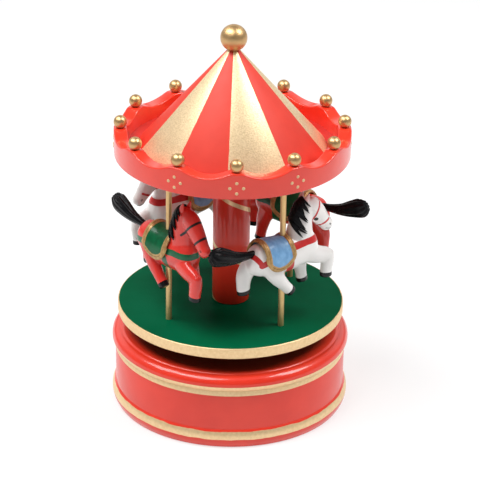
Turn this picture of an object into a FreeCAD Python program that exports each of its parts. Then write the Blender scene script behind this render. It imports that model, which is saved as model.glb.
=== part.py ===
import FreeCAD, Part
import math
import os

# Carousel music box. A turned wooden base holds a spring movement, and a carousel of platform,
# column, four horses and striped roof turns on it. Millimetres, +Z up, origin at the centre of
# the base's underside, front towards -Y. Azimuths run from the front towards +X.

V = FreeCAD.Vector
UP = V(0, 0, 1)
ALONG_X = V(1, 0, 0)
ORIGIN = V(0, 0, 0)

# Clearances
running_gap = 0.06
mesh_backlash = 0.24
body_gap = 0.3

# Base
base_height = 33.0
wall_radius = 48.8
foot_radius = 49.2
foot_bead_radius = 50.3
foot_bead_height = 8.1
lip_radius = 50.2
lip_height = 6.2
lip_bulge_share = 0.42
lip_overhang = 0.3
groove_width = 0.5
groove_depth = 0.6
top_disc_radius = 46.0
top_disc_step = 0.6
cavity_radius = 38.0
top_thickness = 5.5
board_radius = 43.0
board_thickness = 3.0
board_screw_count = 4

# Screws
screw_head_radius = 1.8
screw_head_height = 1.1
screw_shank_radius = 0.9
screw_bite = 4.0

# Spindle, its bearing and the spring motor
spindle_radius = 2.5
spindle_shoulder = 1.7
spindle_shoulder_height = 1.2
bush_wall = 2.0
bush_flange = 2.0
bush_flange_height = 0.8
washer_wall = 3.5
washer_thickness = 0.6
bedplate_thickness = 2.0
bedplate_margin = 1.0
bedplate_rim_gap = 1.0
bedplate_screw_spots = ((-11.0, -16.0), (-11.0, 16.0), (7.0, 17.0))
housing_gap = 1.0
housing_wall = 0.8
housing_height = 14.0
spring_thickness = 0.5
spring_pitch = 1.2
spring_side_gap = 0.6

# Gear train
tooth_pressure_angle = 25.0
train_module = 0.5
drive_teeth = 60
drive_face = 2.0
drive_plate = 1.5
drive_drop = 2.5
drive_hub_wall = 2.1
pinion_teeth = 15
pinion_face = 1.6
cylinder_gear_teeth = 36
gear_face = 1.5
governor_pinion_teeth = 12
governor_pinion_face = 1.7
fly_module = 0.35
governor_wheel_teeth = 25
fly_pinion_teeth = 10
fly_pinion_face = 1.9
governor_direction = 20.0
fly_direction = -40.0

# Pinned cylinder and comb
drum_radius = 6.2
drum_length = 13.5
drum_gap = 0.4
pin_height = 0.7
pin_size = 0.36
tune_notes = 18
pins_per_note = 4
pin_turn = 137.5
shaft_radius = 1.2
bracket_thickness = 0.9
bracket_half_width = 3.0
bracket_foot = 2.2
comb_thickness = 0.6
comb_tip_gap = 0.2
comb_tooth_length = 8.5
comb_heel = 6.0
comb_slot = 0.22
comb_margin = 0.35

# Governor
arbor_radius = 0.8
frame_plate = 1.0
frame_drum_gap = 1.1
frame_foot = 3.4
frame_screw_inset = 3.4
fly_radius = 4.6
fly_wheel_gap = 2.6
fly_vanes = 3
fly_vane_thickness = 0.5
fly_core_radius = 1.5

# Platform and column
platform_gap = 7.3
platform_radius = 47.7
platform_thickness = 4.6
platform_edge_round = 0.5
hub_radius = 12.0
hub_flange = 2.0
hub_boss_wall = 4.0
hub_lift = 0.1
hub_screw_count = 3
column_radius = 7.8
column_height = 66.8
tenon_shoulder = 2.8
column_base_round = 0.6

# Roof
roof_disc_thickness = 3.0
ring_radius = 48.8
ring_wall = 5.6
ring_height = 11.0
scallop_depth = 2.5
scallop_seat = 5.6
ball_count = 12
ball_radius = 2.75
ball_seat_sink = 0.35
ball_peg_radius = 0.8
ball_peg_length = 3.0
ball_start = 2.2
cone_radius = 38.9
cone_height = 41.7
cone_top_radius = 2.7
finial_radius = 5.5
finial_sink = 0.4
finial_peg_radius = 1.5
finial_peg_length = 7.0

# Poles and horses
pole_radius = 1.22
pole_circle = 33.0
pole_roof_depth = 2.0
pole_platform_depth = 4.0
horse_azimuths = (-50.7, 39.3, 129.3, -140.7)
horse_yaws = (0.0, 0.0, 17.0, 0.0)
horse_lift = 15.1
saddle_thickness = 0.8
saddle_fronts = (6.0, 1.4, 6.0, 1.4)
saddle_length = 14.4
mane_thickness = 0.9
section_points = 8

# Horse stations: forward from the pole, height over the lowest hoof, outward, half depth, half width
body_stations = (
    (-17.4, 19.6, 0.0, 2.6, 2.2),
    (-15.4, 19.0, 0.0, 6.0, 4.9),
    (-9.5, 18.2, 0.0, 7.5, 6.2),
    (-2.0, 17.3, 0.0, 7.6, 6.1),
    (6.0, 17.6, 0.0, 7.6, 6.1),
    (12.0, 18.6, 0.0, 7.4, 5.6),
    (15.4, 19.2, 0.0, 5.4, 4.2),
    (17.0, 19.4, 0.0, 2.4, 1.9),
)
neck_stations = (
    (8.6, 19.0, 0.0, 7.8, 5.0),
    (8.9, 26.0, 0.0, 6.2, 4.2),
    (9.9, 32.0, 0.0, 5.2, 3.5),
    (11.4, 36.6, 0.0, 4.2, 3.0),
    (12.4, 39.0, 0.0, 2.0, 1.8),
)
head_stations = (
    (10.6, 37.6, 0.0, 2.4, 2.0),
    (14.2, 35.0, 0.0, 4.5, 3.2),
    (18.2, 30.8, 0.0, 4.2, 3.0),
    (22.2, 26.2, 0.0, 3.1, 2.4),
    (24.1, 24.0, 0.0, 2.9, 2.3),
    (25.2, 22.8, 0.0, 1.6, 1.4),
)
forward_hind_leg = (
    (-10.6, 17.5, 3.2, 4.6, 2.6),
    (-6.0, 10.4, 3.6, 3.5, 2.5),
    (-1.6, 5.2, 3.6, 2.5, 2.2),
    (2.0, 1.4, 3.6, 2.4, 2.2),
)
back_hind_leg = (
    (-12.4, 18.0, -3.0, 4.6, 2.6),
    (-16.8, 12.6, -3.2, 4.2, 2.5),
    (-17.8, 7.6, -3.2, 3.2, 2.3),
    (-17.4, 3.4, -3.2, 3.0, 2.2),
)
raised_fore_thigh = (
    (9.4, 16.8, 2.8, 4.4, 2.6),
    (16.0, 14.0, 3.2, 3.9, 2.5),
    (21.0, 12.6, 3.2, 3.2, 2.4),
    (24.0, 11.6, 3.2, 2.0, 1.8),
)
raised_fore_shin = (
    (22.0, 13.6, 3.2, 2.6, 2.2),
    (22.0, 10.0, 3.2, 3.1, 2.3),
    (21.4, 5.6, 3.2, 2.8, 2.2),
    (21.2, 2.6, 3.2, 2.9, 2.2),
)
down_fore_leg = (
    (10.2, 16.0, -2.8, 4.2, 2.6),
    (12.0, 9.6, -3.2, 3.3, 2.5),
    (13.0, 4.4, -3.2, 2.5, 2.2),
    (13.8, 0.4, -3.2, 2.6, 2.2),
)
ear_stations = (
    (10.6, 37.4, 1.6, 1.5, 1.1),
    (11.0, 39.6, 1.8, 1.2, 0.8),
    (11.8, 41.8, 1.9, 0.4, 0.3),
)
tail_stations = (
    (-15.4, 22.0, 0.0, 1.5, 1.5),
    (-19.0, 22.4, 0.0, 1.8, 1.6),
    (-25.0, 23.6, 0.0, 2.7, 2.3),
    (-31.0, 25.6, 0.0, 3.3, 2.8),
    (-35.4, 27.4, 0.0, 2.9, 2.4),
    (-38.0, 28.6, 0.0, 0.9, 0.8),
)
saddle_bottom = 14.6
saddle_corner = 6.4
saddle_top = 32.0
mane_outline = (
    (13.0, 40.6), (8.4, 40.4), (3.0, 35.0), (0.2, 28.6), (0.6, 25.8), (2.8, 28.0), (4.0, 25.6),
    (5.4, 28.4), (6.8, 26.4), (8.0, 29.6), (9.6, 28.6), (10.4, 32.4), (12.6, 36.4),
)
mane_reach = 9.0
mane_far_side = 1.6

# Heights, from the ground up
board_top = board_thickness
board_screw_circle = (cavity_radius + board_radius) / 2
ceiling = base_height - top_thickness
bedplate_low = ceiling - bedplate_thickness
housing_low = bedplate_low - housing_height
drive_root = housing_low - drive_drop
drive_low = drive_root - drive_plate
spindle_low = drive_low - spindle_shoulder_height
bush_top = base_height + bush_flange_height
washer_top = bush_top + washer_thickness
hub_low = washer_top + hub_lift
platform_low = base_height + platform_gap
platform_top = platform_low + platform_thickness
horse_floor = platform_top + horse_lift
roof_low = platform_top + column_height
roof_top = roof_low + roof_disc_thickness
ring_top = roof_low + ring_height
cone_top = roof_top + cone_height
finial_height = cone_top + finial_radius - finial_sink

# Radii round the spindle
bush_radius = spindle_radius + bush_wall
hub_boss_radius = spindle_radius + hub_boss_wall
hub_screw_circle = (hub_boss_radius + hub_radius) / 2
tenon_radius = column_radius - tenon_shoulder

# Places in the gear train
drive_radius = train_module * drive_teeth / 2
housing_radius = drive_radius - drive_face / 2 - housing_gap
pinion_radius = train_module * pinion_teeth / 2
cylinder_axis = drive_root + 1.25 * train_module + pinion_radius
pinion_start = drive_radius - pinion_face / 2
inner_bracket_start = drive_radius + drive_face / 2 + body_gap
drum_start = inner_bracket_start + bracket_thickness + drum_gap
drum_end = drum_start + drum_length
gear_start = drum_end + drum_gap
outer_bracket_start = gear_start + gear_face + drum_gap
shaft_end = outer_bracket_start + bracket_thickness
governor_reach = train_module * (cylinder_gear_teeth + governor_pinion_teeth) / 2
governor_side = governor_reach * math.cos(math.radians(governor_direction))
governor_axis = cylinder_axis + governor_reach * math.sin(math.radians(governor_direction))
fly_reach = fly_module * (governor_wheel_teeth + fly_pinion_teeth) / 2
fly_side = governor_side + fly_reach * math.cos(math.radians(fly_direction))
fly_axis = governor_axis + fly_reach * math.sin(math.radians(fly_direction))
frame_start = drum_start - frame_plate
frame_end = drum_end - frame_plate
governor_wheel_start = frame_end - frame_plate - gear_face - 2 * drum_gap
fly_start = frame_start + frame_plate + drum_gap
fly_length = governor_wheel_start - fly_wheel_gap - fly_start
frame_inner_side = drum_radius + pin_height + frame_drum_gap
frame_outer_side = fly_side + fly_radius
comb_tip = drum_radius + pin_height + comb_tip_gap
comb_root = comb_tip + comb_tooth_length
comb_back = comb_root + comb_heel


def cylinder(radius, low, high, x=0.0, y=0.0):
    return Part.makeCylinder(radius, high - low, V(x, y, low))


def rod(radius, start, end, y, z):
    return Part.makeCylinder(radius, end - start, V(start, y, z), ALONG_X)


def block(low, high):
    return Part.makeBox(high[0] - low[0], high[1] - low[1], high[2] - low[2], V(*low))


def fuse(shapes):
    return shapes[0].multiFuse(shapes[1:])


def on_circle(radius, count, height, start=0.0):
    turns = [math.radians(start + 360.0 * i / count) for i in range(count)]
    return [V(radius * math.sin(a), -radius * math.cos(a), height) for a in turns]


def turned(path):
    """Turn a profile of (radius, height) points about Z. A pair of points is an arc: through, to."""
    edges = []
    here = V(path[0][0], 0, path[0][1])
    for step in path[1:] + path[:1]:
        if isinstance(step[0], tuple):
            through = V(step[0][0], 0, step[0][1])
            there = V(step[1][0], 0, step[1][1])
            edges.append(Part.Arc(here, through, there).toShape())
        else:
            there = V(step[0], 0, step[1])
            edges.append(Part.LineSegment(here, there).toShape())
        here = there
    return Part.Face(Part.Wire(edges)).revolve(ORIGIN, UP, 360)


def screw(place, towards, shank):
    """A screw whose head's seat is at place and whose shank runs towards the given direction."""
    head = Part.makeCylinder(screw_head_radius, screw_head_height, place, towards * -1)
    return head.fuse(Part.makeCylinder(screw_shank_radius, shank, place, towards))


def screw_hole(place, towards, shank):
    return Part.makeCylinder(screw_shank_radius, shank, place, towards)


# Base shell and its board
board_screw_places = on_circle(board_screw_circle, board_screw_count, screw_head_height, 45.0)
board_screw_length = board_thickness - screw_head_height + screw_bite
bedplate_screw_places = [V(x, y, bedplate_low) for x, y in bedplate_screw_spots]
bedplate_screw_length = bedplate_thickness + screw_bite


def base_shell():
    lip_top = base_height - top_disc_step
    lip_low = lip_top - lip_height
    lip_root = wall_radius + lip_overhang
    shell = turned([
        (0, base_height),
        (0, ceiling),
        (cavity_radius, ceiling),
        (cavity_radius, board_top),
        (board_radius, board_top),
        (board_radius, 0),
        (foot_radius, 0),
        ((foot_bead_radius, foot_bead_height / 2), (wall_radius, foot_bead_height)),
        (wall_radius, lip_low - groove_width),
        (wall_radius - groove_depth, lip_low - groove_width / 2),
        (lip_root, lip_low),
        ((lip_radius, lip_low + lip_height * lip_bulge_share),
         (top_disc_radius + top_disc_step, lip_top)),
        (top_disc_radius, base_height),
    ])
    shell = shell.cut(cylinder(bush_radius, ceiling, base_height))
    for place in board_screw_places:
        shell = shell.cut(screw_hole(place, UP, board_screw_length))
    for place in bedplate_screw_places:
        shell = shell.cut(screw_hole(place, UP, bedplate_screw_length))
    return shell


def bottom_board():
    board = cylinder(board_radius, 0, board_top)
    for place in board_screw_places:
        board = board.cut(cylinder(screw_head_radius, 0, screw_head_height, place.x, place.y))
        board = board.cut(screw_hole(place, UP, board_screw_length))
    return board


def bottom_screws():
    return Part.makeCompound([screw(place, UP, board_screw_length) for place in board_screw_places])


# Movement plate, spring motor and spindle
def bedplate():
    """A cast plate under the base's top, with the comb's ledge hanging from it."""
    left = housing_radius + 3 * bedplate_margin
    plate = block((-left, -comb_back - bedplate_margin, bedplate_low),
                  (shaft_end + bedplate_margin, frame_outer_side + bedplate_margin, ceiling))
    plate = plate.common(cylinder(cavity_radius - bedplate_rim_gap, bedplate_low, ceiling))
    plate = plate.fuse(block((drum_start, -comb_back, comb_high), (drum_end, -comb_root, bedplate_low)))
    plate = plate.cut(cylinder(bush_radius, bedplate_low, ceiling))
    holes = [screw_hole(place, UP, bedplate_screw_length) for place in bedplate_screw_places]
    holes += [screw_hole(place, UP, governor_screw_length) for place in governor_screw_places]
    holes += [screw_hole(place, UP, comb_screw_length) for place in comb_screw_places]
    return plate.cut(holes)


def bedplate_screws():
    return Part.makeCompound([screw(place, UP, bedplate_screw_length) for place in bedplate_screw_places])


def spring_housing():
    cup = cylinder(housing_radius, housing_low, bedplate_low)
    cup = cup.cut(cylinder(housing_radius - housing_wall, housing_low + housing_wall, bedplate_low))
    return cup.cut(cylinder(spindle_radius + running_gap, housing_low, housing_low + housing_wall))


def mainspring():
    """A flat steel band wound in half turns whose centres alternate, from the spindle to the cup."""
    low = housing_low + housing_wall + spring_side_gap
    high = bedplate_low - spring_side_gap
    step = spring_pitch / 2
    radius = spindle_radius + running_gap
    room = housing_radius - housing_wall - spring_thickness - step
    inner = []
    outer = []
    turn = 0
    while radius + step <= room:
        centre = V(step * (turn % 2), 0, low)
        side = 1 if turn % 2 == 0 else -1
        for edges, reach in ((inner, radius), (outer, radius + spring_thickness)):
            start = centre + V(side * reach, 0, 0)
            middle = centre + V(0, side * reach, 0)
            end = centre - V(side * reach, 0, 0)
            edges.append(Part.Arc(start, middle, end).toShape())
        radius += step
        turn += 1
    first = Part.LineSegment(inner[0].Vertexes[0].Point, outer[0].Vertexes[0].Point).toShape()
    last = Part.LineSegment(inner[-1].Vertexes[-1].Point, outer[-1].Vertexes[-1].Point).toShape()
    band = Part.Face(Part.Wire(Part.__sortEdges__(inner + [last] + outer + [first])))
    return band.extrude(UP * (high - low))


def spindle():
    shaft = cylinder(spindle_radius, spindle_low, platform_low)
    return shaft.fuse(cylinder(spindle_radius + spindle_shoulder, spindle_low, drive_low))


def bearing_bush():
    bush = cylinder(bush_radius, bedplate_low, base_height)
    bush = bush.fuse(cylinder(bush_radius + bush_flange, base_height, bush_top))
    return bush.cut(cylinder(spindle_radius + running_gap, bedplate_low, bush_top))


def thrust_washer():
    washer = cylinder(spindle_radius + washer_wall, bush_top, washer_top)
    return washer.cut(cylinder(spindle_radius + running_gap, bush_top, washer_top))


# Gears
def involute(angle):
    return math.tan(angle) - angle


def spur_gear(teeth, module, start, width, y, z, tooth_at, bore):
    """A gear on an axis along X, with one tooth centred at the given angle from +Y towards +Z."""
    pressure = math.radians(tooth_pressure_angle)
    pitch = module * teeth / 2
    base = pitch * math.cos(pressure)
    root = pitch - 1.25 * module
    tip = pitch + 0.9 * module
    half_at_pitch = math.pi / (2 * teeth) - mesh_backlash / (4 * pitch)

    def half_angle(radius):
        slope = math.acos(min(1.0, base / radius))
        return half_at_pitch + involute(pressure) - involute(slope)

    flank = [max(root, base), (max(root, base) + pitch) / 2, (pitch + tip) / 2, tip]
    sides = [(root, half_angle(flank[0]))] if base > root else []
    sides += [(radius, half_angle(radius)) for radius in flank]
    points = []
    for i in range(teeth):
        middle = math.radians(tooth_at) + 2 * math.pi * i / teeth
        turns = [(radius, middle - half) for radius, half in sides]
        turns += [(radius, middle + half) for radius, half in reversed(sides)]
        points += [V(start, y + r * math.cos(a), z + r * math.sin(a)) for r, a in turns]
    blank = Part.Face(Part.makePolygon(points + points[:1])).extrude(ALONG_X * width)
    return blank.cut(rod(bore, start, start + width, y, z))


def drive_wheel():
    """A crown wheel: straight rack teeth stand on the rim of a disc, one of them towards +X."""
    outer = drive_radius + drive_face / 2
    wheel = cylinder(outer, drive_low, drive_root)
    wheel = wheel.fuse(cylinder(spindle_radius + drive_hub_wall, drive_root, housing_low - body_gap))
    slope = math.tan(math.radians(tooth_pressure_angle))
    half_pitch_width = math.pi * train_module / 4 - mesh_backlash / 4
    foot = half_pitch_width + 1.25 * train_module * slope
    tip = half_pitch_width - 0.9 * train_module * slope
    tip_height = drive_root + 2.15 * train_module
    inner = drive_radius - drive_face / 2
    profile = [V(inner, -foot, drive_root), V(inner, foot, drive_root), V(inner, tip, tip_height),
               V(inner, -tip, tip_height)]
    tooth = Part.Face(Part.makePolygon(profile + profile[:1])).extrude(ALONG_X * drive_face)
    tooth = tooth.common(cylinder(outer, drive_root, tip_height))
    teeth = []
    for i in range(drive_teeth):
        copy = tooth.copy()
        copy.rotate(ORIGIN, UP, 360.0 * i / drive_teeth)
        teeth.append(copy)
    wheel = fuse([wheel] + teeth)
    return wheel.cut(cylinder(spindle_radius, drive_low, housing_low))


# Pinned cylinder and comb
def cylinder_shaft():
    return rod(shaft_radius, pinion_start, shaft_end, 0, cylinder_axis)


def cylinder_pinion():
    tooth_at = -90.0 + 180.0 / pinion_teeth
    return spur_gear(pinion_teeth, train_module, pinion_start, pinion_face, 0, cylinder_axis, tooth_at,
                     shaft_radius)


def cylinder_gear():
    return spur_gear(cylinder_gear_teeth, train_module, gear_start, gear_face, 0, cylinder_axis,
                     governor_direction, shaft_radius)


def note_place(note):
    pitch = (drum_length - 2 * comb_margin) / tune_notes
    return drum_start + comb_margin + pitch * (note + 0.5)


def pin_cylinder():
    drum = rod(drum_radius, drum_start, drum_end, 0, cylinder_axis)
    pins = []
    for note in range(tune_notes):
        middle = note_place(note)
        for k in range(pins_per_note):
            pin = block((middle - pin_size / 2, -pin_size / 2, cylinder_axis + drum_radius - pin_size),
                        (middle + pin_size / 2, pin_size / 2, cylinder_axis + drum_radius + pin_height))
            turn = note * pin_turn + k * 360.0 / pins_per_note
            pin.rotate(V(0, 0, cylinder_axis), ALONG_X, turn)
            pins.append(pin)
    drum = fuse([drum] + pins)
    return drum.cut(rod(shaft_radius, drum_start, drum_end, 0, cylinder_axis))


def bracket(start):
    arm = block((start, -bracket_half_width, cylinder_axis - bracket_foot),
                (start + bracket_thickness, bracket_half_width, bedplate_low))
    return arm.cut(rod(shaft_radius + running_gap, start, start + bracket_thickness, 0, cylinder_axis))


comb_low = cylinder_axis - comb_thickness / 2
comb_high = cylinder_axis + comb_thickness / 2
comb_screw_notes = (3, 14)
comb_screw_places = [V(note_place(note), -(comb_root + comb_heel / 2), comb_low) for note in comb_screw_notes]
comb_screw_length = comb_thickness + screw_bite


def comb():
    """A steel plate slotted into one tooth for each note."""
    half_pitch = (note_place(1) - note_place(0)) / 2
    plate = block((note_place(0) - half_pitch, -comb_back, comb_low),
                  (note_place(tune_notes - 1) + half_pitch, -comb_tip, comb_high))
    cuts = [screw_hole(place, UP, comb_thickness) for place in comb_screw_places]
    for note in range(tune_notes - 1):
        middle = note_place(note) + half_pitch
        cuts.append(block((middle - comb_slot / 2, -comb_root, comb_low),
                          (middle + comb_slot / 2, -comb_tip, comb_high)))
    return plate.cut(cuts)


def comb_screws():
    return Part.makeCompound([screw(place, UP, comb_screw_length) for place in comb_screw_places])


# Governor
governor_screw_places = [
    V(fly_start + fly_length / 2, frame_outer_side - frame_screw_inset, bedplate_low - frame_plate),
    V(governor_wheel_start, frame_outer_side - frame_screw_inset, bedplate_low - frame_plate),
]
governor_screw_length = frame_plate + bedplate_thickness


def governor_frame():
    outside = block((frame_start, frame_inner_side, fly_axis - frame_foot),
                    (frame_end, frame_outer_side, bedplate_low))
    inside = block((frame_start + frame_plate, frame_inner_side, fly_axis - frame_foot),
                   (frame_end - frame_plate, frame_outer_side, bedplate_low - frame_plate))
    frame = outside.cut(inside)
    frame = frame.cut(rod(arbor_radius + running_gap, frame_start, frame_end, governor_side, governor_axis))
    frame = frame.cut(rod(arbor_radius + running_gap, frame_start, frame_end, fly_side, fly_axis))
    for place in governor_screw_places:
        frame = frame.cut(screw_hole(place, UP, frame_plate))
    return frame


def governor_screws():
    return Part.makeCompound([screw(place, UP, governor_screw_length) for place in governor_screw_places])


def governor_pinion():
    start = gear_start - (governor_pinion_face - gear_face) / 2
    tooth_at = governor_direction + 180.0 + 180.0 / governor_pinion_teeth
    pinion = spur_gear(governor_pinion_teeth, train_module, start, governor_pinion_face, governor_side,
                       governor_axis, tooth_at, arbor_radius)
    end = start + governor_pinion_face
    return pinion.fuse(rod(arbor_radius, frame_start, end, governor_side, governor_axis))


def governor_wheel():
    return spur_gear(governor_wheel_teeth, fly_module, governor_wheel_start, gear_face, governor_side,
                     governor_axis, fly_direction, arbor_radius)


def fly_pinion():
    start = governor_wheel_start - (fly_pinion_face - gear_face) / 2
    tooth_at = fly_direction + 180.0 + 180.0 / fly_pinion_teeth
    pinion = spur_gear(fly_pinion_teeth, fly_module, start, fly_pinion_face, fly_side, fly_axis, tooth_at,
                       arbor_radius)
    return pinion.fuse(rod(arbor_radius, frame_start, frame_end, fly_side, fly_axis))


def fly():
    vanes = [rod(fly_core_radius, fly_start, fly_start + fly_length, fly_side, fly_axis)]
    for i in range(fly_vanes):
        vane = block((fly_start, fly_side, fly_axis - fly_vane_thickness / 2),
                     (fly_start + fly_length, fly_side + fly_radius, fly_axis + fly_vane_thickness / 2))
        vane.rotate(V(0, fly_side, fly_axis), ALONG_X, 360.0 * i / fly_vanes)
        vanes.append(vane)
    return fuse(vanes).cut(rod(arbor_radius, fly_start, fly_start + fly_length, fly_side, fly_axis))


# Platform, hub and column
hub_screw_places = on_circle(hub_screw_circle, hub_screw_count, platform_low - hub_flange)
hub_screw_length = hub_flange + platform_thickness / 2


def platform_hub():
    hub = cylinder(hub_radius, platform_low - hub_flange, platform_low)
    hub = hub.fuse(cylinder(hub_boss_radius, hub_low, platform_low))
    hub = hub.cut(cylinder(spindle_radius, hub_low, platform_low))
    for place in hub_screw_places:
        hub = hub.cut(screw_hole(place, UP, hub_screw_length))
    return hub


def hub_screws():
    return Part.makeCompound([screw(place, UP, hub_screw_length) for place in hub_screw_places])


pole_places = [V(pole_circle * math.sin(math.radians(a)), -pole_circle * math.cos(math.radians(a)), 0)
               for a in horse_azimuths]
pole_low = platform_top - pole_platform_depth
pole_high = roof_low + pole_roof_depth


def platform():
    board = cylinder(platform_radius, platform_low, platform_top)
    rims = [edge for edge in board.Edges if edge.Length > 6 * platform_radius]
    board = board.makeFillet(platform_edge_round, rims)
    board = board.cut(cylinder(tenon_radius, platform_low, platform_top))
    for place in pole_places:
        board = board.cut(cylinder(pole_radius, pole_low, platform_top, place.x, place.y))
    for place in hub_screw_places:
        board = board.cut(screw_hole(place, UP, hub_screw_length))
    return board


def column():
    post = turned([
        (0, platform_low),
        (tenon_radius, platform_low),
        (tenon_radius, platform_top),
        (column_radius - column_base_round, platform_top),
        (column_radius, platform_top + column_base_round),
        (column_radius, roof_low),
        (tenon_radius, roof_low),
        (tenon_radius, roof_top),
        (0, roof_top),
    ])
    return post


# Roof
def roof_disc():
    disc = cylinder(ring_radius - ring_wall, roof_low, roof_top)
    disc = disc.cut(cylinder(tenon_radius, roof_low, roof_top))
    for place in pole_places:
        disc = disc.cut(cylinder(pole_radius, roof_low, pole_high, place.x, place.y))
    return disc


ball_circle = ring_radius - ring_wall / 2
ball_places = on_circle(ball_circle, ball_count, ring_top, ball_start)


def ball_peg(place):
    return cylinder(ball_peg_radius, ring_top - ball_peg_length, ring_top, place.x, place.y)


def crown_ring():
    ring = cylinder(ring_radius, roof_low, ring_top)
    ring = ring.cut(cylinder(ring_radius - ring_wall, roof_low, ring_top))
    half_span = math.pi * ring_radius / ball_count - scallop_seat / 2
    scallop_radius = (half_span ** 2 + scallop_depth ** 2) / (2 * scallop_depth)
    scallop_height = ring_top - scallop_depth + scallop_radius
    cuts = []
    for i in range(ball_count):
        turn = math.radians(ball_start + 360.0 * (i + 0.5) / ball_count)
        outward = V(math.sin(turn), -math.cos(turn), 0)
        start = outward * (ring_radius - 2 * ring_wall) + V(0, 0, scallop_height)
        cuts.append(Part.makeCylinder(scallop_radius, 3 * ring_wall, start, outward))
    ring = ring.cut(cuts)
    return ring.cut([ball_peg(place) for place in ball_places])


def rim_balls():
    balls = []
    for place in ball_places:
        ball = Part.makeSphere(ball_radius, place + V(0, 0, ball_radius - ball_seat_sink))
        ball = ball.cut(cylinder(2 * ball_radius, ring_top - ball_radius, ring_top, place.x, place.y))
        balls.append(ball.fuse(ball_peg(place)))
    return Part.makeCompound(balls)


def cone():
    roof = Part.makeCone(cone_radius, cone_top_radius, cone_height, V(0, 0, roof_top))
    return roof.cut(cylinder(finial_peg_radius, cone_top - finial_peg_length, cone_top))


def finial():
    ball = Part.makeSphere(finial_radius, V(0, 0, finial_height))
    ball = ball.cut(cylinder(2 * finial_radius, cone_top - finial_radius, cone_top))
    return ball.fuse(cylinder(finial_peg_radius, cone_top - finial_peg_length, cone_top))


# Poles and horses, made in a horse's own frame: pole on Z, forward +X, outward -Y
def section(place, along, half_depth, half_width):
    """A closed oval, square to the direction along, as a smooth curve through points of an ellipse."""
    across = V(0, 1, 0)
    depth = across.cross(along).normalize()
    turns = [2 * math.pi * i / section_points for i in range(section_points)]
    curve = Part.BSplineCurve()
    curve.interpolate([place + depth * (half_depth * math.cos(a)) + across * (half_width * math.sin(a))
                       for a in turns], PeriodicFlag=True)
    return Part.Wire(curve.toShape())


def limb(stations, grow=0.0):
    """Loft through ellipses, each square to the line of its neighbours in the XZ plane."""
    places = [V(station[0], -station[2], horse_floor + station[1]) for station in stations]
    rings = []
    for i, (forward, height, outward, depth, width) in enumerate(stations):
        along = places[min(i + 1, len(places) - 1)] - places[max(i - 1, 0)]
        along.y = 0
        rings.append(section(places[i], along.normalize(), depth + grow, width + grow))
    return Part.makeLoft(rings, True, False)


def mirrored(stations):
    return [(forward, height, -outward, depth, width) for forward, height, outward, depth, width in stations]


def side_prism(points, near, far):
    face = Part.Face(Part.makePolygon([V(x, near, horse_floor + z) for x, z in points + points[:1]]))
    return face.extrude(V(0, far - near, 0))


trunk_stations = [body_stations, neck_stations, head_stations, ear_stations, mirrored(ear_stations)]
leg_stations = [forward_hind_leg, back_hind_leg, raised_fore_thigh, raised_fore_shin, down_fore_leg]


def pole_bore():
    return cylinder(pole_radius, platform_top, roof_low)


def carved_horse():
    return fuse([limb(stations) for stations in trunk_stations + leg_stations]).cut(pole_bore())


def saddle_piece(front):
    """A blanket with a rounded lower edge, wrapped over the horse's back."""
    back = front - saddle_length
    reach = 2 * max(width for forward, height, outward, depth, width in body_stations)
    corner = horse_floor + saddle_bottom + saddle_corner
    low_back = V(back, -reach, corner)
    low_middle = V((front + back) / 2, -reach, horse_floor + saddle_bottom)
    low_front = V(front, -reach, corner)
    high_front = V(front, -reach, horse_floor + saddle_top)
    high_back = V(back, -reach, horse_floor + saddle_top)
    edges = [Part.Arc(low_back, low_middle, low_front).toShape(),
             Part.LineSegment(low_front, high_front).toShape(),
             Part.LineSegment(high_front, high_back).toShape(),
             Part.LineSegment(high_back, low_back).toShape()]
    blanket = Part.Face(Part.Wire(edges)).extrude(V(0, 2 * reach, 0))
    shell = limb(body_stations, saddle_thickness).common(blanket)
    carved = [limb(stations) for stations in [body_stations, neck_stations] + leg_stations]
    return shell.cut(carved + [pole_bore()])


def mane_piece():
    """A crest of hair down the back and the outer side of the neck, ending in points."""
    outline = side_prism(list(mane_outline), -mane_reach, mane_far_side)
    shell = limb(neck_stations, mane_thickness).common(outline)
    return shell.cut([limb(stations) for stations in trunk_stations])


def tail_piece():
    return limb(tail_stations).cut(limb(body_stations))


def largest(shape):
    return max(shape.Solids, key=lambda solid: solid.Volume)


def placed(shape, azimuth, yaw):
    copy = shape.copy()
    copy.rotate(ORIGIN, UP, yaw)
    copy.translate(V(0, -pole_circle, 0))
    copy.rotate(ORIGIN, UP, azimuth)
    return copy


def horses():
    horse = carved_horse()
    saddles = {front: largest(saddle_piece(front)) for front in set(saddle_fronts)}
    mane = largest(mane_piece())
    tail = largest(tail_piece())
    pole = cylinder(pole_radius, pole_low, pole_high)
    pieces = {}
    for i, (azimuth, yaw, front) in enumerate(zip(horse_azimuths, horse_yaws, saddle_fronts), 1):
        shapes = {"horse": horse, "saddle": saddles[front], "mane": mane, "tail": tail, "pole": pole}
        for name, shape in shapes.items():
            pieces[f"{name}_{i}"] = placed(shape, azimuth, yaw)
    return pieces


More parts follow.
